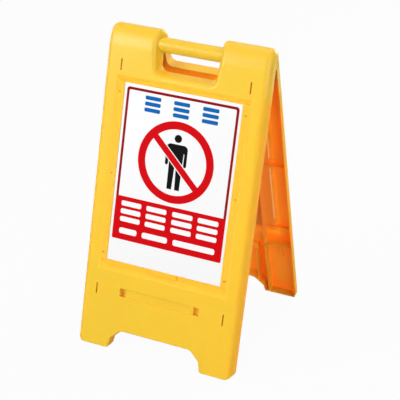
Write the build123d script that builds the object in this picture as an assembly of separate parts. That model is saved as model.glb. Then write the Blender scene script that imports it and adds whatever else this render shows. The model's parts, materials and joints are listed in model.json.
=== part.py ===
"""A-frame caution sign: two moulded leaves hinged on a steel rod, with a carrying bar and sign boards.

Frame: +Z up, the floor at Z = 0, +X to the right seen from the front, +Y to the back, the origin midway
between the feet. A leaf is drawn upright with the hinge axis along X through the origin: w is the distance
out from the hinge towards the face, v the distance down the leaf, and up = -v. It is then tilted and lifted.
"""

import os
from math import acos, atan2, cos, hypot, pi, radians, sin, sqrt, tan

from build123d import *

# Overall sizes of a leaf, in millimetres, and the angle between the two leaves, in degrees
LEAF_WIDTH = 410.0
LEAF_LENGTH = 736.0
LEAF_DEPTH = 28.0
OPEN_ANGLE = 30.0
WALL = 2.8
EDGE_RADIUS = 18.0

# Shoulders: the face bends back, then rolls over the hinge and ends at a lip behind it
HOOD_TOP = 35.0
ROLL_RADIUS = 21.0
BEND_RADIUS = 100.0
BEND_LEAN = 25.0
HOOD_END = 50.0

# Hand hole under the carrying bar; in front its sides flare towards the face and lean outwards going up
HAND_FACE_WIDTH = 171.0
HAND_THROAT_WIDTH = 142.0
HAND_THROAT_RADIUS = 25.0
HAND_DRAFT = 7.0
SILL_FACE_DROP = 70.0
SILL_INNER_DROP = 59.0
HAND_CORNER_RADIUS = 15.0
HAND_EDGE_RADIUS = 12.0
REAR_HAND_WIDTH = 145.0
REAR_SILL_DROP = 59.5
REAR_HAND_CHAMFER = 3.0

# Feet, and the arch between them, measured up from the foot
FOOT_CORNER_RADIUS = 20.0
FOOT_INNER_RADIUS = 6.0
FOOT_OVERRUN = 0.3
ARCH_HEIGHT = 41.0
ARCH_TOP_WIDTH = 184.0
ARCH_STEP_HEIGHT = 18.0
ARCH_STEP_WIDTH = 233.0
ARCH_FOOT_WIDTH = 244.0
ARCH_RADIUS = 20.0
ARCH_STEP_RADIUS = 12.0
ARCH_EDGE_RADIUS = 3.5

# Sign board
BOARD_WIDTH = 312.0
BOARD_LENGTH = 427.5
BOARD_TOP_DROP = 97.0
BOARD_THICKNESS = 2.0

# Recess for the board, with sloped and rounded edges
RECESS_DEPTH = 4.5
RECESS_FLOOR = 2.5
RECESS_RAMP = 11.0
RECESS_TOP_MARGIN = 14.5
RECESS_BOTTOM_MARGIN = 26.5
RECESS_EDGE_RADIUS = 12.0
RIM_CREST = 0.02

# Rails that reach from the recess's edges over the board's long edges, and the ledge below the board
RAIL_LAP = 7.5
RAIL_ROOM = 2.0
RAIL_SINK = 1.0
RAIL_OVERRUN = 2.0
NOTCH_WIDTH = 6.0
NOTCH_HEIGHT = 3.5
TOP_NOTCH_INSET = 24.0
BOTTOM_NOTCH_INSET = 15.0
SLIT_WIDTH = 3.5
SLIT_UNDER_BOARD = 3.0
SLIT_FOOT = 12.0
SLIT_MARGIN = 15.0
LEDGE_WIDTH = 74.0
LEDGE_HEIGHT = 12.0
LEDGE_PROUD = 2.6

# Strap groove below the recess, with a pocket at each end that is open at its lower outer corner
GROOVE_WIDTH = 180.0
GROOVE_HEIGHT = 21.0
GROOVE_DEPTH = 3.0
GROOVE_BELOW_RECESS = 47.5
STRAP_WIDTH = 15.0
STRAP_HEIGHT = 20.0
STRAP_DEPTH = 10.0
STRAP_LAP = 1.0
STRAP_GAP_WIDTH = 5.5
STRAP_GAP_HEIGHT = 8.0

# Four narrow blind slots near the corners, placed from the leaf's sides
SLOT_WIDTH = 3.4
SLOT_HEIGHT = 27.0
SLOT_DEPTH = 7.0
UPPER_SLOT_INSET = 43.0
UPPER_SLOT_DROP = 57.5
LOWER_SLOT_INSET = 39.0
LOWER_SLOT_BELOW_GROOVE = 3.5

# Ribs inside a leaf
RIB = 2.2
RIB_SETBACK = 1.0
UPRIGHT_RIB_INSET = 38.0
UPRIGHT_RIB_ABOVE_RECESS = 12.0
FLOOR_RIB_COUNT = 3
FLOOR_RIB_HEIGHT = 12.0
LOW_RIB_HEIGHT = 6.0
LOW_RIB_ABOVE_RECESS_END = 36.0
DEEP_RIB_BELOW_RECESS_END = 14.0

# Hinge: rod, knuckles, end bosses and caps
ROD_DIAMETER = 8.0
KNUCKLE_RADIUS = 11.5
KNUCKLE_THICKNESS = 6.0
KNUCKLE_DEPTH = 55.0
BULKHEAD = 4.0
END_BOSS_RADIUS = 13.0
END_BOSS_LENGTH = 8.0
END_BOSS_SINK = 1.0
CAP_DIAMETER = 16.0
CAP_LENGTH = 4.0

# Carrying bar: a tube round the rod
BAR_DIAMETER = 35.0
BAR_WALL = 3.0
BAR_ENTRY = 10.0

# Clearances
FOLD_GAP = 0.8
STOP_GAP = 0.3
ROD_SNUG = 0.02
ROD_RUNNING = 0.08
ROD_END_GAP = 0.2
SEAT_GAP = 0.15
SIDE_GAP = 0.5
SWING_GAP = 0.8
BOARD_GAP = 0.2

# Values worked out from the sizes above
tilt = radians(OPEN_ANGLE / 2)
hingeHeight = LEAF_LENGTH * cos(tilt)
halfWidth = LEAF_WIDTH / 2
innerPlane = FOLD_GAP / 2
lean = radians(BEND_LEAN)
rollUp = HOOD_TOP - ROLL_RADIUS
bendUp = rollUp - (BEND_RADIUS - ROLL_RADIUS) * sin(lean)
bendW = LEAF_DEPTH - BEND_RADIUS
rollW = bendW + (BEND_RADIUS - ROLL_RADIUS) * cos(lean)
floorSlope = tan(tilt)
deepest = LEAF_LENGTH + LEAF_DEPTH * floorSlope

# The lip of the shoulder lies in a plane through the hinge axis; the rear leaf's top edge meets it when open
hoodEnd = radians(HOOD_END)
along = cos(hoodEnd) * rollUp - sin(hoodEnd) * rollW
reach = along + sqrt(along**2 + ROLL_RADIUS**2 - rollW**2 - rollUp**2)
lip = (-sin(hoodEnd) * reach, cos(hoodEnd) * reach)
lipTurn = atan2(lip[1] - rollUp, lip[0] - rollW)
rearEnd = hoodEnd + 2 * tilt
rearTop = (
    sin(rearEnd) * reach + cos(rearEnd) * STOP_GAP,
    cos(rearEnd) * reach - sin(rearEnd) * STOP_GAP,
)
rearIn = LEAF_DEPTH - rearTop[0]
rearBend = (rearIn**2 + (rearTop[1] - bendUp) ** 2) / (2 * rearIn)
rearTurn = atan2(rearTop[1] - bendUp, rearTop[0] - LEAF_DEPTH + rearBend)

archDrop = LEAF_LENGTH - ARCH_HEIGHT
archStepDrop = LEAF_LENGTH - ARCH_STEP_HEIGHT
recessFloor = LEAF_DEPTH - RECESS_DEPTH
boardFace = recessFloor + BOARD_THICKNESS
boardHalf = BOARD_WIDTH / 2
boardBottomDrop = BOARD_TOP_DROP + BOARD_LENGTH
railIn = boardHalf - RAIL_LAP
recessHalf = boardHalf + RAIL_ROOM + RECESS_RAMP
recessTopDrop = BOARD_TOP_DROP - RECESS_TOP_MARGIN
recessBottomDrop = boardBottomDrop + RECESS_BOTTOM_MARGIN
topNotchDrop = BOARD_TOP_DROP + TOP_NOTCH_INSET
bottomNotchDrop = boardBottomDrop - BOTTOM_NOTCH_INSET
middleNotchDrop = (topNotchDrop + bottomNotchDrop) / 2
grooveDrop = recessBottomDrop + GROOVE_BELOW_RECESS
lowerSlotDrop = grooveDrop + LOWER_SLOT_BELOW_GROOVE
strapAt = GROOVE_WIDTH / 2 + STRAP_WIDTH / 2 - STRAP_LAP
strapEnd = strapAt + STRAP_WIDTH / 2
uprightRib = recessHalf - UPRIGHT_RIB_INSET

barRadius = BAR_DIAMETER / 2
barHalf = HAND_THROAT_WIDTH / 2 + BAR_ENTRY
rodRadius = ROD_DIAMETER / 2
bulkheadStart = barHalf + SIDE_GAP
innerKnuckleStart = bulkheadStart + BULKHEAD + SIDE_GAP
endBossEnd = halfWidth - END_BOSS_SINK
endBossStart = endBossEnd - END_BOSS_LENGTH
outerKnuckleStart = endBossStart - SIDE_GAP - KNUCKLE_THICKNESS
outerKnuckleEnd = outerKnuckleStart + KNUCKLE_THICKNESS
capStart = endBossEnd - CAP_LENGTH
rodHalf = capStart - ROD_END_GAP

# Lengths for drawing only: past the hood and the leaf's depth, past the face, and a hair's breadth
beyond = 2 * (HOOD_TOP + LEAF_DEPTH)
aboveFace = LEAF_DEPTH + RECESS_DEPTH
hair = 0.01

# An inner corner is cut straight, at this share of the rounding that would keep the wall even
CORNER_CUT = 0.72


def at(w, up):
    return (-w, up)


def around(centre, radius, turn):
    return (centre[0] + radius * cos(turn), centre[1] + radius * sin(turn))


def arc(centre, radius, start, end):
    points = [around(centre, radius, turn) for turn in (start, (start + end) / 2, end)]
    return ThreePointArc(*[at(*point) for point in points])


def across(points, half):
    """A prism along X, from a side view given as (w, up) points."""
    sketch = make_face(Polyline(*[at(*point) for point in points], close=True))
    return extrude(Plane.YZ * sketch, amount=half, both=True)


def block(u0, u1, w0, w1, v0, v1):
    return Pos((u0 + u1) / 2, -(w0 + w1) / 2, -(v0 + v1) / 2) * Box(u1 - u0, w1 - w0, v1 - v0)


def barrel(radius, u0, u1):
    return Pos((u0 + u1) / 2, 0, 0) * Rot(Y=90) * Cylinder(radius, u1 - u0)


def bothSides(make, u0, u1, *sizes):
    """The same block or barrel on the right and on the left."""
    if make is barrel:
        return [barrel(*sizes, u0, u1), barrel(*sizes, -u1, -u0)]
    return [make(u0, u1, *sizes), make(-u1, -u0, *sizes)]


def envelope(front, inset):
    """The leaf's outer form without its openings, or with an inset the space inside its walls."""
    depth = LEAF_DEPTH - inset
    low = -(deepest + beyond)
    lines = [Line(at(depth, low), at(depth, bendUp))]
    if front:
        end = pi if inset else lipTurn
        lines.append(arc((bendW, bendUp), BEND_RADIUS - inset, 0, lean))
        lines.append(arc((rollW, rollUp), ROLL_RADIUS - inset, lean, end))
        top = around((rollW, rollUp), ROLL_RADIUS - inset, end)
    else:
        centre = (LEAF_DEPTH - rearBend, bendUp)
        end = rearTurn + 2 * inset / rearBend
        lines.append(arc(centre, rearBend - inset, 0, end))
        top = around(centre, rearBend - inset, end)
    if inset:
        closing = [top, (rollW - ROLL_RADIUS + inset, top[1]), (rollW - ROLL_RADIUS + inset, low)]
        if front:
            closing.pop(0)
    else:
        closing = [top, (0, 0), (innerPlane, -innerPlane), (innerPlane, low)]
    lines.append(Polyline(*[at(*point) for point in closing + [(depth, low)]]))
    half = halfWidth - inset
    body = extrude(Plane.YZ * make_face(lines), amount=half, both=True)
    ends = [edge for edge in body.edges() if abs(abs(edge.center().X) - half) < hair]
    sides = [e for e in ends if e.geom_type == GeomType.CIRCLE or abs(e.center().Y + depth) < hair]
    if inset:
        return chamfer(sides, CORNER_CUT * (EDGE_RADIUS - inset))
    return fillet(sides, EDGE_RADIUS)


def cheek(front, grow):
    """All that lies to the right of the hand hole."""
    half = (HAND_THROAT_WIDTH if front else REAR_HAND_WIDTH) / 2 + grow
    body = block(half, halfWidth, -beyond, beyond, -beyond, beyond)
    if not front:
        return body
    flare = (HAND_FACE_WIDTH - HAND_THROAT_WIDTH) / 2 / LEAF_DEPTH
    slant = Vector(1, flare, -tan(radians(HAND_DRAFT))).normalized()
    slope = Plane(origin=Vector(HAND_FACE_WIDTH / 2, -LEAF_DEPTH, 0) + slant * grow, z_dir=slant)
    outside = Box(4 * beyond, 4 * beyond, 4 * beyond, align=(Align.CENTER, Align.CENTER, Align.MIN))
    body = body & slope * outside
    onThroat = [e for e in body.edges() if abs(e.center().X - half) < hair]
    throat = [e for e in onThroat if abs((e.center() - slope.origin).dot(slant)) < hair]
    return body if grow else fillet(throat, HAND_THROAT_RADIUS)


def handHole(front, grow):
    """The space of the hand hole, or with a growth that space and the walls round it."""
    inner = SILL_INNER_DROP if front else REAR_SILL_DROP
    slope = (SILL_FACE_DROP - inner) / LEAF_DEPTH if front else 0.0
    sill = -inner - grow * sqrt(1 + slope**2)
    sillLine = [(beyond, sill - slope * beyond), (-beyond, sill + slope * beyond)]
    right = cheek(front, grow)
    aboveSill = across(sillLine + [(-beyond, beyond), (beyond, beyond)], halfWidth)
    body = aboveSill - right - mirror(right, Plane.YZ)
    if grow:
        return body
    onSill = [e for e in body.edges() if abs(e.center().Z - sill - slope * e.center().Y) < hair]
    return fillet([e for e in onSill if abs(e.center().X) > hair], HAND_CORNER_RADIUS)


def outline(inset):
    """Front view of the feet and the arch, as a prism through the leaf."""
    foot = -deepest - FOOT_OVERRUN
    right = [
        (halfWidth, beyond),
        (halfWidth, foot),
        (ARCH_FOOT_WIDTH / 2, foot),
        (ARCH_STEP_WIDTH / 2, -archStepDrop),
        (ARCH_TOP_WIDTH / 2, -archDrop),
    ]
    view = make_face(Polyline(*right, *[(-x, z) for x, z in reversed(right)], close=True))
    rounds = (FOOT_CORNER_RADIUS, FOOT_INNER_RADIUS, ARCH_STEP_RADIUS, ARCH_RADIUS)
    for point, radius in zip((1, 2, 3, 4), rounds):
        x, z = right[point]
        picked = [p for p in view.vertices() if hypot(abs(p.X) - x, p.Y - z) < hair]
        view = fillet(picked, radius)
    if inset:
        view = offset(view, -inset)
    return extrude(Plane.XZ * view, amount=beyond, both=True)


def aboveFloor(inset):
    """Everything above the floor that the open sign stands on, in the leaf's own frame."""
    rise = inset / cos(tilt) - LEAF_LENGTH
    ground = [(beyond, rise - beyond * floorSlope), (-beyond, rise + beyond * floorSlope)]
    return across(ground + [(-beyond, beyond), (beyond, beyond)], LEAF_WIDTH)


def trough(plane, high, low, floor):
    """A prism that falls from the face to a floor by a rounded ramp at its high end and its low end."""
    ramp = RECESS_RAMP * (LEAF_DEPTH - floor) / RECESS_DEPTH
    steep = atan2(RECESS_DEPTH, RECESS_RAMP)
    roundW = LEAF_DEPTH - RECESS_EDGE_RADIUS + RIM_CREST
    away = (RECESS_EDGE_RADIUS + (roundW - floor) * cos(steep)) / sin(steep)
    crest = acos(1 - RIM_CREST / RECESS_EDGE_RADIUS)
    lines = []
    corners = []
    for end, out in ((high, 1), (low, -1)):
        foot = (floor, end - out * ramp)
        centre = (roundW, foot[1] + out * away)
        start = around(centre, RECESS_EDGE_RADIUS, -out * steep)
        stop = around(centre, RECESS_EDGE_RADIUS, -out * crest)
        lines.append(Line(at(*foot), at(*start)))
        lines.append(arc(centre, RECESS_EDGE_RADIUS, -out * steep, -out * crest))
        lines.append(Line(at(*stop), at(aboveFace, stop[1])))
        corners.append((foot, (aboveFace, stop[1])))
    for which in (0, 1):
        lines.append(Line(at(*corners[0][which]), at(*corners[1][which])))
    return extrude(plane * make_face(lines), amount=LEAF_LENGTH, both=True)


def recess(grow):
    """The space of the board recess, or with a growth that space and the walls round it."""
    floor = recessFloor - (RECESS_FLOOR if grow else 0)
    half = recessHalf + grow
    sideways = Plane(origin=(0, 0, 0), x_dir=(0, 1, 0), z_dir=(0, 0, -1))
    ends = trough(Plane.YZ, grow - recessTopDrop, -grow - recessBottomDrop, floor)
    return ends & trough(sideways, half, -half, floor)


def groove(grow):
    half, high = GROOVE_WIDTH / 2 + grow, GROOVE_HEIGHT / 2 + grow
    floor = LEAF_DEPTH - GROOVE_DEPTH - grow
    return block(-half, half, floor, aboveFace, grooveDrop - high, grooveDrop + high)


def hollowed(front, inset):
    """The leaf's solid form, or with an inset its inner space, with the hand hole's rim eased."""
    depth = LEAF_DEPTH - inset
    body = envelope(front, inset) - handHole(front, inset)
    if inset and not front:
        return body
    curves = [((bendW, bendUp), BEND_RADIUS - inset), ((rollW, rollUp), ROLL_RADIUS - inset)]
    if not front:
        curves = [((LEAF_DEPTH - rearBend, bendUp), rearBend)]
    rim = []
    for edge in body.edges():
        middle = edge.position_at(0.5)
        w, up = -middle.Y, middle.Z
        if abs(middle.X) > HAND_FACE_WIDTH / 2 + HAND_EDGE_RADIUS or up < -2 * SILL_FACE_DROP:
            continue
        onCurve = [abs(hypot(w - c[0], up - c[1]) - r) < hair and up > bendUp for c, r in curves]
        if abs(w - depth) < hair or any(onCurve):
            rim.append(edge)
    if inset:
        return chamfer(rim, CORNER_CUT * (HAND_EDGE_RADIUS - inset))
    return fillet(rim, HAND_EDGE_RADIUS) if front else chamfer(rim, REAR_HAND_CHAMFER)


def solidLeaf(front):
    """The outer form with every hollow of its outer side, before it is emptied from behind."""
    body = hollowed(front, 0) & outline(0) & aboveFloor(0)
    onFace = [e for e in body.edges() if abs(e.position_at(0.5).Y + LEAF_DEPTH) < hair]
    low = [e for e in onFace if e.position_at(0.5).Z < hair - archDrop]
    arch = [e for e in low if abs(e.position_at(0.5).X) < ARCH_FOOT_WIDTH / 2]
    return fillet(arch, ARCH_EDGE_RADIUS) - recess(0) - groove(0)


def ribs(front):
    """Stiffening ribs and hinge webs, still full blocks: they are trimmed to the leaf's form."""
    inner = innerPlane + RIB_SETBACK
    top = recessTopDrop - UPRIGHT_RIB_ABOVE_RECESS
    plates = bothSides(block, uprightRib - RIB / 2, uprightRib + RIB / 2, inner, LEAF_DEPTH, top, deepest)
    plates += bothSides(block, strapEnd, strapEnd + RIB, inner, LEAF_DEPTH, grooveDrop, deepest)
    behindFloor = recessFloor - RECESS_FLOOR
    sideRibs = (
        (middleNotchDrop, behindFloor - LOW_RIB_HEIGHT),
        (recessBottomDrop - LOW_RIB_ABOVE_RECESS_END, behindFloor - LOW_RIB_HEIGHT),
        (recessBottomDrop + DEEP_RIB_BELOW_RECESS_END, inner),
    )
    for drop, low in sideRibs:
        heights = (low, LEAF_DEPTH, drop - RIB / 2, drop + RIB / 2)
        plates += bothSides(block, uprightRib, halfWidth - WALL / 2, *heights)
    low = behindFloor - FLOOR_RIB_HEIGHT
    spacing = (recessBottomDrop - recessTopDrop) / (FLOOR_RIB_COUNT + 1)
    for number in range(FLOOR_RIB_COUNT):
        drop = recessTopDrop + (number + 1) * spacing
        plates.append(block(-uprightRib, uprightRib, low, LEAF_DEPTH, drop - RIB / 2, drop + RIB / 2))
    gusset = [
        (innerPlane, -KNUCKLE_DEPTH / 2),
        (LEAF_DEPTH, -KNUCKLE_DEPTH),
        (LEAF_DEPTH, beyond),
        (-beyond, beyond),
        (-beyond, 0),
    ]
    web = across(gusset, halfWidth)
    spans = [(innerKnuckleStart, innerKnuckleStart + KNUCKLE_THICKNESS), (outerKnuckleStart, outerKnuckleEnd)]
    if front:
        spans = [(bulkheadStart, bulkheadStart + BULKHEAD)]
    for u0, u1 in spans:
        for slab in bothSides(block, u0, u1, -beyond, beyond, -beyond, beyond):
            plates.append(web & slab)
    return plates


def hinged(front, body):
    """The leaf with its eyes on the hinge axis, and clear of the other leaf's."""
    if front:
        body = body - barrel(barRadius + SEAT_GAP, -barHalf - SIDE_GAP / 2, barHalf + SIDE_GAP / 2)
        eyes = bothSides(barrel, bulkheadStart, bulkheadStart + BULKHEAD, KNUCKLE_RADIUS)
        eyes += bothSides(barrel, endBossStart, endBossEnd, END_BOSS_RADIUS)
        bores = [barrel(rodRadius + ROD_SNUG, -halfWidth, halfWidth)]
        bores += bothSides(barrel, capStart, halfWidth, CAP_DIAMETER / 2 + SEAT_GAP)
    else:
        body = body - barrel(barRadius + SWING_GAP, hair - innerKnuckleStart, innerKnuckleStart - hair)
        for notch in bothSides(barrel, outerKnuckleEnd, halfWidth + WALL, END_BOSS_RADIUS + SWING_GAP):
            body = body - notch
        eyes = bothSides(barrel, innerKnuckleStart, innerKnuckleStart + KNUCKLE_THICKNESS, KNUCKLE_RADIUS)
        eyes += bothSides(barrel, outerKnuckleStart, outerKnuckleEnd, KNUCKLE_RADIUS)
        bores = [barrel(rodRadius + ROD_RUNNING, -halfWidth, halfWidth)]
    for eye in eyes:
        body = body + eye
    for bore in bores:
        body = body - bore
    return body


def railed(body):
    """The leaf with the rails and the ledge that hold the board, and the slits under the rails."""
    top, bottom = BOARD_TOP_DROP - RAIL_OVERRUN, boardBottomDrop + RAIL_OVERRUN
    under, over = boardFace + BOARD_GAP, LEAF_DEPTH - RAIL_SINK
    rooted = recessFloor - RECESS_FLOOR / 2
    for lip in bothSides(block, railIn, recessHalf, under, over, top, bottom):
        body = body + lip
    notches = (topNotchDrop, middleNotchDrop, bottomNotchDrop)
    for drop in notches:
        span = (under, aboveFace, drop - NOTCH_HEIGHT / 2, drop + NOTCH_HEIGHT / 2)
        for notch in bothSides(block, boardHalf + BOARD_GAP, boardHalf + NOTCH_WIDTH, *span):
            body = body - notch
    slitIn = boardHalf - SLIT_UNDER_BOARD
    below = recessFloor - 2 * RECESS_FLOOR
    for upper, lower in zip(notches, notches[1:]):
        start, stop = upper + SLIT_MARGIN, lower - SLIT_MARGIN
        cuts = bothSides(block, slitIn, slitIn + SLIT_WIDTH, below, under, start, stop)
        cuts += bothSides(block, slitIn, slitIn + SLIT_FOOT, below, under, stop - SLIT_WIDTH, stop)
        for cut in cuts:
            body = body - cut
    ledgeTop = boardBottomDrop + BOARD_GAP
    ledge = (rooted, recessFloor + LEDGE_PROUD, ledgeTop, ledgeTop + LEDGE_HEIGHT)
    return body + block(-LEDGE_WIDTH / 2, LEDGE_WIDTH / 2, *ledge)


def pocketed(form, body):
    """The leaf with its blind slots and strap pockets, each in a box of its own behind the face."""
    pockets = [
        (halfWidth - UPPER_SLOT_INSET, UPPER_SLOT_DROP, SLOT_WIDTH / 2, SLOT_HEIGHT / 2, SLOT_DEPTH),
        (halfWidth - LOWER_SLOT_INSET, lowerSlotDrop, SLOT_WIDTH / 2, SLOT_HEIGHT / 2, SLOT_DEPTH),
        (strapAt, grooveDrop, STRAP_WIDTH / 2, STRAP_HEIGHT / 2, STRAP_DEPTH),
    ]
    for u, v, wide, high, deep in pockets:
        back = LEAF_DEPTH - deep
        outer = (back - WALL, LEAF_DEPTH, v - high - WALL, v + high + WALL)
        for box in bothSides(block, u - wide - WALL, u + wide + WALL, *outer):
            body = body + (box & form)
        for space in bothSides(block, u - wide, u + wide, back, aboveFace, v - high, v + high):
            body = body - space
    low = grooveDrop + STRAP_HEIGHT / 2
    through = (LEAF_DEPTH - STRAP_DEPTH - 2 * WALL, LEAF_DEPTH - STRAP_DEPTH, low - STRAP_GAP_HEIGHT, low)
    for gap in bothSides(block, strapEnd - STRAP_GAP_WIDTH, strapEnd, *through):
        body = body - gap
    return body


def leaf(front):
    form = solidLeaf(front)
    space = hollowed(front, WALL) & outline(WALL) & aboveFloor(WALL)
    body = form - (space - recess(WALL) - groove(WALL))
    halfway = hollowed(front, WALL / 2) & outline(WALL / 2) & aboveFloor(WALL / 2)
    for plate in ribs(front):
        body = body + (plate & form & halfway)
    return pocketed(form, railed(hinged(front, body)))


def board():
    return block(-boardHalf, boardHalf, recessFloor, boardFace, BOARD_TOP_DROP, boardBottomDrop)


def carryHandle():
    return barrel(barRadius, -barHalf, barHalf) - barrel(barRadius - BAR_WALL, -barHalf, barHalf)


def inFront(shape):
    return Pos(0, 0, hingeHeight) * Rot(X=-OPEN_ANGLE / 2) * shape


def behind(shape):
    return Pos(0, 0, hingeHeight) * Rot(X=OPEN_ANGLE / 2) * Rot(Z=180) * shape


rightCap, leftCap = bothSides(barrel, capStart, endBossEnd, CAP_DIAMETER / 2)
pieces = {
    "front_leaf": inFront(leaf(True)),
    "rear_leaf": behind(leaf(False)),
    "front_sign_board": inFront(board()),
    "rear_sign_board": behind(board()),
    "carry_handle": inFront(carryHandle()),
    "hinge_rod": inFront(barrel(rodRadius, -rodHalf, rodHalf)),
    "right_rod_cap": inFront(rightCap),
    "left_rod_cap": inFront(leftCap),
}

os.makedirs("parts", exist_ok=True)
for name, shape in pieces.items():
    export_step(shape, f"parts/{name}.step")
    print(name, "solids", len(shape.solids()), "volume", round(shape.volume))
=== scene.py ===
import json
import math

import bmesh
import bpy
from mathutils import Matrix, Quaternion, Vector

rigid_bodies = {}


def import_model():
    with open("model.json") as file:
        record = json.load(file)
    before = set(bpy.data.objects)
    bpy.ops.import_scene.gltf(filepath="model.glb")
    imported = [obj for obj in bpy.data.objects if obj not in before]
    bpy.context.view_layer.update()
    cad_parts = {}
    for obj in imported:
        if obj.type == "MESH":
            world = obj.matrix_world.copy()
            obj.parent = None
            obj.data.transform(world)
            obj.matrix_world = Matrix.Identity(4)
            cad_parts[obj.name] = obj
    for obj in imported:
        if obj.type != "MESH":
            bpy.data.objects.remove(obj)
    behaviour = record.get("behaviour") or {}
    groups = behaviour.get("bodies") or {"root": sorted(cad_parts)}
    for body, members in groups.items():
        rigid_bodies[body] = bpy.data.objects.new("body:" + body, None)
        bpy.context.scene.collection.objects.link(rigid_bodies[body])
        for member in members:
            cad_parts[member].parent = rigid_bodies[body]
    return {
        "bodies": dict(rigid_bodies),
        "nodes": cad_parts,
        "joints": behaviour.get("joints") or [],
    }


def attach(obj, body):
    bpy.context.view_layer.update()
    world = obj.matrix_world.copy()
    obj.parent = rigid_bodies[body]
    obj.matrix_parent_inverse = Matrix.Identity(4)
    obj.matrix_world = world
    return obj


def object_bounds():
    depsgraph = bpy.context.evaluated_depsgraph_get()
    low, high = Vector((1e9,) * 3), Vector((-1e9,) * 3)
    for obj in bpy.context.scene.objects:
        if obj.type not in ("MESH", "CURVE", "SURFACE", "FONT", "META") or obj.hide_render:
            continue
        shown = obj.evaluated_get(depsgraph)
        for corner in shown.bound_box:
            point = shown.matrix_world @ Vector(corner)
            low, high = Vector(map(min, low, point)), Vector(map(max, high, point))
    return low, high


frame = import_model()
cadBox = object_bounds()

scene = bpy.context.scene
mm = 0.001  # sizes below are written in millimetres
print("frame loaded:", ", ".join(sorted(frame["nodes"])))


# Small helpers

def linear(code):  # sRGB hex to the linear colour that the shaders take
    shares = [int(code[i:i + 2], 16) / 255 for i in (1, 3, 5)]
    return tuple(s / 12.92 if s <= 0.04045 else ((s + 0.055) / 1.055) ** 2.4 for s in shares) + (1.0,)


def addNode(tree, kind, inputs=None, **settings):  # inputs: socket -> its value, or an output to link
    node = tree.nodes.new(kind)
    for key, value in settings.items():
        setattr(node, key, value)
    for key, value in (inputs or {}).items():
        if isinstance(value, bpy.types.NodeSocket):
            tree.links.new(value, node.inputs[key])
        else:
            node.inputs[key].default_value = value
    return node


def newMaterial(name):
    made = bpy.data.materials.new(name)
    made.use_nodes = True
    made.node_tree.nodes.clear()
    return made, made.node_tree


def perMetre(size):  # a noise scale whose spots are about this many millimetres across
    return 1 / (size * mm)


# Where a leaf lies: right, down and out from the hinge, as seen from its outside

fold = frame["joints"][0]
hinge = Vector(fold["pos_m"])
tilt = math.radians(max(fold["range_deg"])) / 2


def leafAxes(body):
    side = -1 if body == "front" else 1
    right = Vector((-side, 0, 0))
    down = Vector((0, side * math.sin(tilt), -math.cos(tilt)))
    out = Vector((0, side * math.cos(tilt), math.sin(tilt)))
    return right, down, out


def reach(node, axis):  # lowest and highest place of a node along one of those axes
    along = [(v.co - hinge).dot(axis) for v in frame["nodes"][node].data.vertices]
    return min(along), max(along)


def uprightLeaf(tree, place):  # the leaf stood upright: X across, Y out, Z up, the same for both leaves
    spread = addNode(tree, "ShaderNodeVectorMath", {0: place}, operation="ABSOLUTE").outputs[0]
    turn = {"Vector": spread, "Center": hinge, "Angle": -tilt}
    return addNode(tree, "ShaderNodeVectorRotate", turn, rotation_type="X_AXIS").outputs[0]


def pastEdge(tree, upright, across, outward, drops):  # metres that a place lies past the sides of a box
    centre = (sum(across) / 2, sum(outward) / 2, hinge.z - sum(drops) / 2)
    half = [(high - low) / 2 for low, high in (across, outward, drops)]
    centred = addNode(tree, "ShaderNodeVectorMath", {0: upright, 1: centre}, operation="SUBTRACT").outputs[0]
    away = addNode(tree, "ShaderNodeVectorMath", {0: centred}, operation="ABSOLUTE").outputs[0]
    past = addNode(tree, "ShaderNodeVectorMath", {0: away, 1: half}, operation="SUBTRACT").outputs[0]
    sides = addNode(tree, "ShaderNodeSeparateXYZ", {"Vector": past}).outputs
    flat = addNode(tree, "ShaderNodeMath", {0: sides["X"], 1: sides["Z"]}, operation="MAXIMUM").outputs[0]
    return addNode(tree, "ShaderNodeMath", {0: flat, 1: sides["Y"]}, operation="MAXIMUM").outputs[0]


# Yellow plastic of the leaves, bar and caps

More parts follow.
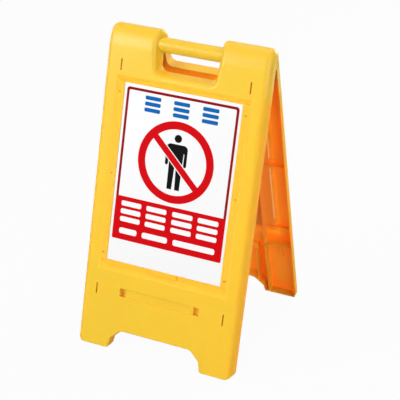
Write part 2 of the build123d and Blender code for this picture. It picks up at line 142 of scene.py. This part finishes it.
plastic = {
    "face": "#ECC723",
    "cloud": "#EAC11D",
    "mottle": 90,  # mm across a cloud of pigment
    "grain": 1.6,  # mm; the real spark-eroded grain is 0.3, drawn coarser so that it shows
    "grainDepth": 0.03,
    "grainStrength": 0.25,
    "corner": 1.0,  # mm; no moulded corner is quite sharp
    "ior": 1.49,
    "roughness": 0.34,
    "roughnessSwing": 0.06,  # more and less than that from cloud to cloud
    "coreRoughness": 0.4,  # added inside, which comes off the unpolished half of the mould
    "hollow": "#F49C22",  # painted shade and bounce light: orange where light has gone from wall to wall before it comes out
    "hollowShare": 0.6,  # most of that painted shade inside the moulding
    "hollowReach": 120,  # mm within which other walls count
    "openness": (0.5, 0.95),  # share of open view that gives all of that painted shade, and none
    "recessPaintedShadeShare": 0.14,  # the same painted shade in the recess of the face, which is shallow
    "rim": (0, 27),  # mm out from the open edge, over which the painted shade fades from the flanges
    "rimTop": (90, 60),  # mm below the hinge, where the open edge ends under the shoulders
    "skin": (26.6, 27.9),  # mm out, from the recess to the face
    "dents": {  # hollows of the face, in mm across, out and below the hinge
        "upper slot": ((160.3, 163.7), (21, 30), (44, 71)),
        "lower slot": ((164.3, 167.7), (21, 30), (588.5, 615.5)),
        "groove": ((-90, 90), (25, 30), (588, 609)),
        "pocket": ((89, 104), (18, 30), (588.5, 608.5)),
        "top notch": ((156.2, 162), (23.5, 30), (119.2, 122.7)),
        "middle notch": ((156.2, 162), (23.5, 30), (313.5, 317)),
        "bottom notch": ((156.2, 162), (23.5, 30), (507.7, 511.2)),
    },
    "dentEdge": 0.3,  # mm round them
    "dentShare": 0.35,  # what they have of the painted hollow shade and of the glow
    "behind": "#FF9E38",  # painted light and shade behind the board, which stops most of the light
    "behindShare": 0.85,
    "boardEdge": (-4, 8),  # mm past the board's edge, over which the painted light and shade behind it ends
    "boardGap": 0.5,  # mm under the board, where the wall behind it starts
    "paintedGlowColour": "#F46A1E",  # painted glow: emission for the little light that comes through board and wall
    "paintedGlow": 0.06,
    "samples": 8,  # rays that feel for the corners and for the walls
    "glow": (0.9, 0.4),  # share of the light that goes into the wall, on its inside and outside
    "glowDepth": 14,  # mm that red light travels in it
    "glowSpread": (1.0, 0.2, 0.04),  # shares of that way for red, green and blue
}


def dentShade(tree, upright):  # 1 on the leaf, less in the hollows of its face
    boxes = [[[edge * mm for edge in edges] for edges in box] for box in plastic["dents"].values()]
    nearest = pastEdge(tree, upright, *boxes[0])
    for box in boxes[1:]:
        past = pastEdge(tree, upright, *box)
        nearest = addNode(tree, "ShaderNodeMath", {0: nearest, 1: past}, operation="MINIMUM").outputs[0]
    edge = plastic["dentEdge"] * mm
    clear = addNode(tree, "ShaderNodeMath", {0: nearest, 1: edge}, operation="GREATER_THAN").outputs[0]
    return addNode(tree, "ShaderNodeMapRange", {"Value": clear, "To Min": plastic["dentShare"]}).outputs[0]


def boardShade(tree, upright, outward):  # 1 on the walls that the board covers from outside
    board = "rear_sign_board"
    right, down, out = leafAxes("rear")
    anyDepth = (-1, 1)
    past = pastEdge(tree, upright, reach(board, right), anyDepth, reach(board, down))
    first, last = [edge * mm for edge in plastic["boardEdge"]]
    over = addNode(tree, "ShaderNodeMapRange", {
        "Value": past, "From Min": first, "From Max": last, "To Min": 1, "To Max": 0}).outputs[0]
    level = reach(board, out)[0] - plastic["boardGap"] * mm
    under = addNode(tree, "ShaderNodeMath", {0: outward, 1: level}, operation="LESS_THAN").outputs[0]
    return addNode(tree, "ShaderNodeMath", {0: over, 1: under}, operation="MULTIPLY").outputs[0]


def mouldedPolypropylene():  # injection-moulded, pigmented right through: satin, and light comes through it
    made, tree = newMaterial("moulded_polypropylene")
    place = addNode(tree, "ShaderNodeTexCoord").outputs["Object"]
    upright = uprightLeaf(tree, place)
    leaf = addNode(tree, "ShaderNodeSeparateXYZ", {"Vector": upright}).outputs

    # which part of the moulding a place is in
    low, high = [hinge.z - drop * mm for drop in plastic["rimTop"]]
    below = addNode(tree, "ShaderNodeMapRange", {
        "Value": leaf["Z"], "From Min": low, "From Max": high, "To Min": 1, "To Max": 0}).outputs[0]
    recess, face = [level * mm for level in plastic["skin"]]
    deep = addNode(tree, "ShaderNodeMapRange", {
        "Value": leaf["Y"], "From Min": recess, "From Max": face, "To Min": 1, "To Max": 0}).outputs[0]
    plain = dentShade(tree, upright)
    covered = boardShade(tree, upright, leaf["Y"])
    inside = addNode(tree, "ShaderNodeMath", {0: deep, 1: plain}, operation="MULTIPLY").outputs[0]
    core = addNode(tree, "ShaderNodeMath", {0: inside, 1: below}, operation="MULTIPLY").outputs[0]

    # how much painted shade it has: the most of what its walls, its edge and the recess give it
    walls = addNode(tree, "ShaderNodeAmbientOcclusion", {"Distance": plastic["hollowReach"] * mm},
                    samples=plastic["samples"], only_local=True).outputs["AO"]
    share = plastic["hollowShare"]
    most = addNode(tree, "ShaderNodeMath", {0: inside, 1: share}, operation="MULTIPLY").outputs[0]
    closed, wide = plastic["openness"]
    byWalls = addNode(tree, "ShaderNodeMapRange", {
        "Value": walls, "From Min": closed, "From Max": wide, "To Min": most, "To Max": 0}).outputs[0]
    edge, end = [level * mm for level in plastic["rim"]]
    rim = addNode(tree, "ShaderNodeMapRange", {
        "Value": leaf["Y"], "From Min": edge, "From Max": end, "To Min": share, "To Max": 0}).outputs[0]
    byRim = addNode(tree, "ShaderNodeMath", {0: rim, 1: below}, operation="MULTIPLY").outputs[0]
    bySink = addNode(tree, "ShaderNodeMath", {
        0: inside, 1: plastic["recessPaintedShadeShare"]}, operation="MULTIPLY").outputs[0]
    sheltered = addNode(tree, "ShaderNodeMath", {0: byWalls, 1: byRim}, operation="MAXIMUM").outputs[0]
    hollow = addNode(tree, "ShaderNodeMath", {0: sheltered, 1: bySink}, operation="MAXIMUM").outputs[0]

    # colour: clouds of pigment, then the painted shade of the hollows, then the painted light and shade
    # behind the board
    cloud = addNode(tree, "ShaderNodeTexNoise", {
        "Vector": place, "Scale": perMetre(plastic["mottle"]), "Detail": 3}).outputs["Fac"]
    tint = addNode(tree, "ShaderNodeMix", {
        "Factor": cloud, 6: linear(plastic["face"]), 7: linear(plastic["cloud"])},
        data_type="RGBA").outputs[2]
    # painted shade: the hollows' orange mixed into the pigment colour
    withPaintedShade = addNode(tree, "ShaderNodeMix", {
        "Factor": hollow, 6: tint, 7: linear(plastic["hollow"])}, data_type="RGBA").outputs[2]
    # painted light and shade: orange on the walls that the board covers
    behind = addNode(tree, "ShaderNodeMath", {
        0: covered, 1: plastic["behindShare"]}, operation="MULTIPLY").outputs[0]
    withPaintedLightBehind = addNode(tree, "ShaderNodeMix", {
        "Factor": behind, 6: withPaintedShade, 7: linear(plastic["behind"])}, data_type="RGBA").outputs[2]

    # surface: soft corners and a fine grain, more matt inside
    soft = addNode(tree, "ShaderNodeBevel", {"Radius": plastic["corner"] * mm},
                   samples=plastic["samples"]).outputs["Normal"]
    grain = addNode(tree, "ShaderNodeTexNoise", {
        "Vector": place, "Scale": perMetre(plastic["grain"]), "Detail": 2}).outputs["Fac"]
    bump = addNode(tree, "ShaderNodeBump", {
        "Height": grain, "Normal": soft, "Strength": plastic["grainStrength"],
        "Distance": plastic["grainDepth"] * mm}).outputs["Normal"]
    matt = addNode(tree, "ShaderNodeMapRange", {
        "Value": cloud, "To Min": plastic["roughness"] - plastic["roughnessSwing"],
        "To Max": plastic["roughness"] + plastic["roughnessSwing"]}).outputs[0]
    rough = addNode(tree, "ShaderNodeMath", {0: core, 1: plastic["coreRoughness"], 2: matt},
                    operation="MULTIPLY_ADD").outputs[0]

    # light in the wall: none where the board covers it, little in the hollows of the face
    inner, outer = plastic["glow"]
    spread = addNode(tree, "ShaderNodeMapRange", {"Value": core, "To Min": outer, "To Max": inner}).outputs[0]
    bare = addNode(tree, "ShaderNodeMath", {0: 1, 1: covered}, operation="SUBTRACT").outputs[0]
    uncovered = addNode(tree, "ShaderNodeMath", {0: spread, 1: bare}, operation="MULTIPLY").outputs[0]
    glow = addNode(tree, "ShaderNodeMath", {0: uncovered, 1: plain}, operation="MULTIPLY").outputs[0]
    # painted glow: emission behind the board for light that comes through board and wall
    paintedGlow = addNode(tree, "ShaderNodeMath", {0: covered, 1: plastic["paintedGlow"]}, operation="MULTIPLY").outputs[0]
    skin = addNode(tree, "ShaderNodeBsdfPrincipled", {
        "Base Color": withPaintedLightBehind, "Roughness": rough, "IOR": plastic["ior"], "Normal": bump,
        "Subsurface Weight": glow, "Subsurface Radius": plastic["glowSpread"],
        "Subsurface Scale": plastic["glowDepth"] * mm,
        "Emission Color": linear(plastic["paintedGlowColour"]), "Emission Strength": paintedGlow},
        subsurface_method="BURLEY")
    addNode(tree, "ShaderNodeOutputMaterial", {"Surface": skin.outputs["BSDF"]})
    return made


# White sheet of the sign boards

sheet = {
    "white": "#F4F4F4",
    "shade": "#F0F1F1",
    "back": "#FFD8A8",  # painted light on its back: what the leaf's orange light makes of it through the slits
    "paintedGlowColour": "#FFC070",
    "paintedGlow": 0.3,  # painted glow: emission for light that comes through the sheet to its back
    "ior": 1.53,
    "roughness": 0.32,
    "ripple": 45,  # mm from wave to wave
    "rippleDepth": 0.1,
    "rippleStrength": 0.2,
}


def rigidVinylSheet():  # calendered white sheet: smooth, half gloss, with a faint waviness
    made, tree = newMaterial("rigid_vinyl_sheet")
    place = addNode(tree, "ShaderNodeTexCoord").outputs["Object"]
    wave = addNode(tree, "ShaderNodeTexNoise", {
        "Vector": place, "Scale": perMetre(sheet["ripple"]), "Detail": 1}).outputs["Fac"]
    tint = addNode(tree, "ShaderNodeMix", {
        "Factor": wave, 6: linear(sheet["white"]), 7: linear(sheet["shade"])}, data_type="RGBA").outputs[2]
    leaf = addNode(tree, "ShaderNodeSeparateXYZ", {"Vector": uprightLeaf(tree, place)}).outputs
    middle = sum(reach("rear_sign_board", leafAxes("rear")[2])) / 2
    behind = addNode(tree, "ShaderNodeMath", {0: leaf["Y"], 1: middle}, operation="LESS_THAN").outputs[0]
    # painted light: the back of the board takes the leaf's orange light as its colour
    sided = addNode(tree, "ShaderNodeMix", {
        "Factor": behind, 6: tint, 7: linear(sheet["back"])}, data_type="RGBA").outputs[2]
    # painted glow: emission on the back of the board
    paintedGlow = addNode(tree, "ShaderNodeMath", {0: behind, 1: sheet["paintedGlow"]}, operation="MULTIPLY").outputs[0]
    bump = addNode(tree, "ShaderNodeBump", {
        "Height": wave, "Strength": sheet["rippleStrength"],
        "Distance": sheet["rippleDepth"] * mm}).outputs["Normal"]
    skin = addNode(tree, "ShaderNodeBsdfPrincipled", {
        "Base Color": sided, "Roughness": sheet["roughness"], "IOR": sheet["ior"], "Normal": bump,
        "Emission Color": linear(sheet["paintedGlowColour"]), "Emission Strength": paintedGlow})
    addNode(tree, "ShaderNodeOutputMaterial", {"Surface": skin.outputs["BSDF"]})
    return made


# Inks of the print

ink = {
    "red": "#D2050F",
    "dark_red": "#920A14",
    "black": "#0B0B0C",
    "blue": "#0A64B2",
    "white": "#F6F6F6",
    "speck": 1.2,  # mm; the real screen's mesh is about 0.1, drawn coarser so that it shows
    "depth": (0.97, 1.03),  # how far the colour swings from speck to speck
    "roughness": 0.55,
    "specular": 0.05,  # solvent ink dries nearly without gloss
}


def screenInk(colour):  # screen-printed: dense colour, almost no gloss, a trace of the mesh in it
    made, tree = newMaterial(colour + "_screen_ink")
    place = addNode(tree, "ShaderNodeTexCoord").outputs["Object"]
    speck = addNode(tree, "ShaderNodeTexNoise", {
        "Vector": place, "Scale": perMetre(ink["speck"]), "Detail": 2}).outputs["Fac"]
    thin, thick = ink["depth"]
    depth = addNode(tree, "ShaderNodeMapRange", {"Value": speck, "To Min": thin, "To Max": thick}).outputs[0]
    tint = addNode(tree, "ShaderNodeHueSaturation", {"Value": depth, "Color": linear(ink[colour])})
    skin = addNode(tree, "ShaderNodeBsdfPrincipled", {
        "Base Color": tint.outputs["Color"], "Roughness": ink["roughness"],
        "Specular IOR Level": ink["specular"]})
    addNode(tree, "ShaderNodeOutputMaterial", {"Surface": skin.outputs["BSDF"]})
    return made


# Steel of the hinge rod

rod = {
    "zinc": "#C9CDD2",
    "line": 0.8,  # mm across a drawing line; the real ones are finer, drawn coarser so that they show
    "stretch": 0.02,  # along the rod, so that the noise becomes lines
    "roughness": (0.25, 0.42),
}


def zincPlatedSteel():  # drawn rod, zinc plated: bluish grey, fine lines along it
    made, tree = newMaterial("zinc_plated_steel")
    place = addNode(tree, "ShaderNodeTexCoord").outputs["Object"]
    along = addNode(tree, "ShaderNodeMapping", {"Vector": place, "Scale": (rod["stretch"], 1, 1)})
    lines = addNode(tree, "ShaderNodeTexNoise", {
        "Vector": along.outputs["Vector"], "Scale": perMetre(rod["line"]), "Detail": 3}).outputs["Fac"]
    bright, dull = rod["roughness"]
    matt = addNode(tree, "ShaderNodeMapRange", {"Value": lines, "To Min": bright, "To Max": dull}).outputs[0]
    skin = addNode(tree, "ShaderNodeBsdfPrincipled", {
        "Base Color": linear(rod["zinc"]), "Metallic": 1.0, "Roughness": matt})
    addNode(tree, "ShaderNodeOutputMaterial", {"Surface": skin.outputs["BSDF"]})
    return made


yellow = mouldedPolypropylene()
white = rigidVinylSheet()
steel = zincPlatedSteel()
redInk = screenInk("red")
lineInk = screenInk("dark_red")
blackInk = screenInk("black")
blueInk = screenInk("blue")
whiteInk = screenInk("white")
print("materials:", len(bpy.data.materials))


# Finish of the solid pieces

finishes = {
    "front_leaf": yellow,
    "rear_leaf": yellow,
    "carry_handle": yellow,
    "front_sign_board": white,
    "rear_sign_board": white,
    "hinge_rod": steel,
    "left_rod_cap": yellow,
    "right_rod_cap": yellow,
}
shading = {
    "weld": 0.002,  # mm within which corners of neighbouring faces become one
    "crease": 32,  # degrees above which an edge stays sharp
    "weight": 90,  # how strongly large faces lead the normals
}
for node, finish in finishes.items():
    piece = frame["nodes"][node]
    piece.data.materials.clear()
    piece.data.materials.append(finish)
    piece.data.shade_smooth()
    weld = piece.modifiers.new("join faces", "WELD")
    weld.merge_threshold = shading["weld"] * mm
    crease = piece.modifiers.new("keep creases", "EDGE_SPLIT")
    crease.split_angle = math.radians(shading["crease"])
    normals = piece.modifiers.new("flat stays flat", "WEIGHTED_NORMAL")
    normals.weight = shading["weight"]
    normals.keep_sharp = True
print("solid pieces finished:", len(finishes))


# Print on the sign boards, in millimetres from the middle of the board's top edge

sign = {
    "border": {"half": 141.5, "top": 8, "bottom": 372.5, "line": 6.3, "corner": 7},
    "band": {"half": 141.5, "top": 267.5, "bottom": 372.5, "corner": 4},
    "ring": {"place": (0.5, 163), "outer": 96, "inner": 77.5, "steps": 120},
    "slash": {"width": 15.5, "turn": 43, "keyline": 2.0, "keylineEnd": 2},  # the keyline ends inside the ring
    "headings": {"drop": 40, "places": (-72.5, 0.5, 73.5), "sizes": (40, 40, 40),
                 "strokes": (-14, 0, 14), "height": 9, "corner": 3},
    "titles": {"drop": 303, "places": (-99, -33.5, 33.5, 99), "sizes": (52, 52, 52, 52),
               "strokes": (-19, 0, 19), "height": 12, "corner": 4},
    "lines": {"drop": 350.5, "places": (-101, -31, 70), "sizes": (46, 66, 107),
              "strokes": (0,), "height": 14, "corner": 5},
    "layer": 0.12,  # mm of ink; real ink is thinner, so each layer stands a little high
    "rooted": 0.05,  # mm that a film reaches into the board
}
figure = {
    "head": (1, 106.5), "headRadius": 9.3, "headSteps": 40,
    "shoulder": 120, "shoulderHalf": 27, "shoulderRound": 11,
    "armWidth": 7.6, "handDrop": 171, "armpit": 139, "gap": 1.6,
    "waist": 16.8, "hip": 168, "crotch": 1.6, "crotchDrop": 171,
    "footDrop": 227, "footOut": 16, "footIn": 4,
}


def arc(centre, radius, start, end, steps=8):
    turns = [math.radians(start + (end - start) * i / steps) for i in range(steps + 1)]
    return [(centre[0] + radius * math.cos(turn), centre[1] + radius * math.sin(turn)) for turn in turns]


def roundedBox(left, right, top, bottom, corner):
    points = arc((right - corner, top + corner), corner, -90, 0)
    points += arc((right - corner, bottom - corner), corner, 0, 90)
    points += arc((left + corner, bottom - corner), corner, 90, 180)
    points += arc((left + corner, top + corner), corner, 180, 270)
    return points


def printFilm(name, body, colour, outlines, layer, hole=None):  # a hole goes through the first outline
    board = body + "_sign_board"
    right, down, out = leafAxes(body)
    top = reach(board, down)[0]
    face = reach(board, out)[1]
    heights = (-sign["rooted"], layer * sign["layer"])
    film = bmesh.new()

    def twoRings(points):  # the same outline in the board and on top of the ink
        rings = []
        for height in heights:
            level = out * (face + height * mm)
            spots = [hinge + right * x * mm + down * (top + y * mm) + level for x, y in points]
            rings.append([film.verts.new(spot) for spot in spots])
        return rings

    for number, outline in enumerate(outlines):
        walls = [twoRings(outline)]
        if hole and number == 0:
            walls.append(twoRings(hole))
        steps = [(i, (i + 1) % len(outline)) for i in range(len(outline))]
        for low, high in walls:
            for i, j in steps:
                film.faces.new((low[i], low[j], high[j], high[i]))
        if len(walls) == 2:
            for outer, inner in zip(*walls):
                for i, j in steps:
                    film.faces.new((outer[i], outer[j], inner[j], inner[i]))
        else:
            for ring in reversed(walls[0]):
                film.faces.new(ring)
    bmesh.ops.recalc_face_normals(film, faces=film.faces)
    mesh = bpy.data.meshes.new(name)
    film.to_mesh(mesh)
    film.free()
    mesh.materials.append(colour)
    piece = bpy.data.objects.new(name, mesh)
    scene.collection.objects.link(piece)
    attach(piece, body)


def standingFigure():  # one side from the neck to the crotch, then the same mirrored
    half = figure["shoulderHalf"]
    shoulder, bend = figure["shoulder"], figure["shoulderRound"]
    armIn = half - figure["armWidth"]
    palm = figure["armWidth"] / 2
    hand = (half + armIn) / 2, figure["handDrop"] - palm
    side = [(0, shoulder)]
    side += arc((half - bend, shoulder + bend), bend, -90, 0)
    side += arc(hand, palm, 0, 180)
    side += [(armIn, figure["armpit"]), (armIn - figure["gap"], figure["armpit"])]
    side += [(figure["waist"], figure["hip"]), (figure["footOut"], figure["footDrop"])]
    side += [(figure["footIn"], figure["footDrop"]), (figure["crotch"], figure["crotchDrop"])]
    side += [(0, figure["crotchDrop"])]
    middle = figure["head"][0]
    return [(middle + x, y) for x, y in side] + [(middle - x, y) for x, y in reversed(side[1:-1])]


def slashOutline(width, radius):  # its ends follow the ring's curve
    acrossPlace, downPlace = sign["ring"]["place"]
    turn = math.radians(sign["slash"]["turn"])
    end = math.degrees(math.asin(width / 2 / radius))
    points = arc((0, 0), radius, -end, end) + arc((0, 0), radius, 180 - end, 180 + end)
    return [(acrossPlace + x * math.cos(turn) - y * math.sin(turn),
             downPlace + x * math.sin(turn) + y * math.cos(turn)) for x, y in points]


def printSign(body):
    border, band, ring, slash = sign["border"], sign["band"], sign["ring"], sign["slash"]
    half, line, corner = border["half"], border["line"], border["corner"]
    borderOut = roundedBox(-half, half, border["top"], border["bottom"], corner)
    borderIn = roundedBox(
        -half + line, half - line, border["top"] + line, border["bottom"] - line, corner - line / 2)
    printFilm(body + "_print_border", body, lineInk, [borderOut], layer=1, hole=borderIn)
    field = roundedBox(-band["half"], band["half"], band["top"], band["bottom"], band["corner"])
    printFilm(body + "_print_band", body, redInk, [field], layer=2)
    head = arc(figure["head"], figure["headRadius"], 0, 360, figure["headSteps"])[:-1]
    printFilm(body + "_print_figure", body, blackInk, [standingFigure(), head], layer=1)
    keyline = slashOutline(slash["width"] + 2 * slash["keyline"], ring["inner"] - slash["keylineEnd"])
    printFilm(body + "_print_keyline", body, whiteInk, [keyline], layer=2)
    place, steps = ring["place"], ring["steps"]
    ringOut, ringIn = [arc(place, ring[edge], 0, 360, steps)[:-1] for edge in ("outer", "inner")]
    bar = slashOutline(slash["width"], ring["inner"])
    printFilm(body + "_print_ring", body, redInk, [ringOut, bar], layer=3, hole=ringIn)
    for group, colour in (("headings", blueInk), ("titles", whiteInk), ("lines", whiteInk)):
        strokes = sign[group]
        high = strokes["height"] / 2
        bars = []
        for middle, wide in zip(strokes["places"], strokes["sizes"]):
            for step in strokes["strokes"]:
                drop = strokes["drop"] + step
                bars.append(roundedBox(
                    middle - wide / 2, middle + wide / 2, drop - high, drop + high, strokes["corner"]))
        printFilm(body + "_print_" + group, body, colour, bars, layer=3)


for body in frame["bodies"]:
    printSign(body)


# Floor, light and camera

studio = {
    "floor": "#B4B4B4",
    "floorSize": 30,  # metres
    "floorGap": 0.1,  # mm that it lies clear of the feet
    "paper": 0.96,  # share of plain white that the floor shows; the rest keeps the shadow
    "daylight": 0.4,  # what the white surroundings give to the object
}


def showsBackground(tree):  # 1 for rays from the camera, off gloss and through clear things
    rays = addNode(tree, "ShaderNodeLightPath").outputs
    seen = addNode(tree, "ShaderNodeMath", {
        0: rays["Is Camera Ray"], 1: rays["Is Glossy Ray"]}, operation="MAXIMUM").outputs[0]
    return addNode(tree, "ShaderNodeMath", {
        0: seen, 1: rays["Is Transmission Ray"]}, operation="MAXIMUM").outputs[0]


def paperFloor():
    made, tree = newMaterial("paper_floor")
    share = addNode(tree, "ShaderNodeMath", {
        0: showsBackground(tree), 1: studio["paper"]}, operation="MULTIPLY").outputs[0]
    matt = addNode(tree, "ShaderNodeBsdfDiffuse", {"Color": linear(studio["floor"])}).outputs[0]
    glow = addNode(tree, "ShaderNodeEmission", {"Color": (1, 1, 1, 1), "Strength": 1.0}).outputs[0]
    paper = addNode(tree, "ShaderNodeMixShader", {0: share, 1: matt, 2: glow}).outputs[0]
    underside = addNode(tree, "ShaderNodeNewGeometry").outputs["Backfacing"]  # clear from below
    clear = addNode(tree, "ShaderNodeBsdfTransparent").outputs[0]
    sided = addNode(tree, "ShaderNodeMixShader", {0: underside, 1: paper, 2: clear}).outputs[0]
    addNode(tree, "ShaderNodeOutputMaterial", {"Surface": sided})
    return made


bpy.ops.mesh.primitive_plane_add(size=studio["floorSize"], location=(0, 0, -studio["floorGap"] * mm))
floor = bpy.context.object
floor.name = "floor"
floor.data.materials.append(paperFloor())

world = bpy.data.worlds.new("studio")
scene.world = world
world.use_nodes = True
world.node_tree.nodes.clear()
strength = addNode(world.node_tree, "ShaderNodeMapRange", {
    "Value": showsBackground(world.node_tree), "To Min": studio["daylight"], "To Max": 1.0}).outputs[0]
sky = addNode(world.node_tree, "ShaderNodeBackground", {"Color": (1, 1, 1, 1), "Strength": strength})
addNode(world.node_tree, "ShaderNodeOutputWorld", {"Surface": sky.outputs["Background"]})

lamps = {  # places and sizes in metres, power in watts
    "key": {"from": (-2.2, -2.5, 1.9), "size": 1.6, "power": 75},
    "fill": {"from": (2.2, -1.6, 1.2), "size": 1.8, "power": 28},
    "top": {"from": (0.0, 0.4, 2.8), "size": 1.6, "power": 15},
    "back": {"from": (0.9, 2.3, 1.3), "size": 1.8, "power": 38},  # through the rear leaf, whose inside glows
}
target = (Vector(cadBox[0]) + Vector(cadBox[1])) / 2
for name, lamp in lamps.items():
    light = bpy.data.lights.new(name, "AREA")
    light.size = lamp["size"]
    light.energy = lamp["power"]
    holder = bpy.data.objects.new(name, light)
    holder.location = lamp["from"]
    holder.rotation_euler = (target - holder.location).to_track_quat("-Z", "Y").to_euler()
    scene.collection.objects.link(holder)
print("lamps:", ", ".join(lamps))

shot = {
    "azimuth": 25.4,
    "elevation": 27.54,
    "roll": 0.46,  # degrees that the camera leans to its left
    "distance": 3184,  # mm from the point that the lens is about
    "about": (0, 0, 338),
    "aside": (18.7, -10.0),  # mm that the picture's middle lies right of and above that point
    "lens": 119.6,
    "sensor": 36,
}
azimuth, elevation = math.radians(shot["azimuth"]), math.radians(shot["elevation"])
away = math.cos(elevation)
backward = Vector((math.sin(azimuth) * away, -math.cos(azimuth) * away, math.sin(elevation)))
sideways = Vector((math.cos(azimuth), math.sin(azimuth), 0))
upward = backward.cross(sideways)
about = Vector(shot["about"]) * mm
camera = bpy.data.objects.new("camera", bpy.data.cameras.new("camera"))
camera.data.lens = shot["lens"]
camera.data.sensor_width = shot["sensor"]
camera.location = about + backward * shot["distance"] * mm
aim = about + sideways * shot["aside"][0] * mm + upward * shot["aside"][1] * mm
upright = (aim - camera.location).to_track_quat("-Z", "Y")
camera.rotation_euler = (upright @ Quaternion((0, 0, 1), math.radians(shot["roll"]))).to_euler()
scene.collection.objects.link(camera)
scene.camera = camera
scene.view_settings.view_transform = "Standard"
print("camera", [round(x, 3) for x in camera.location])
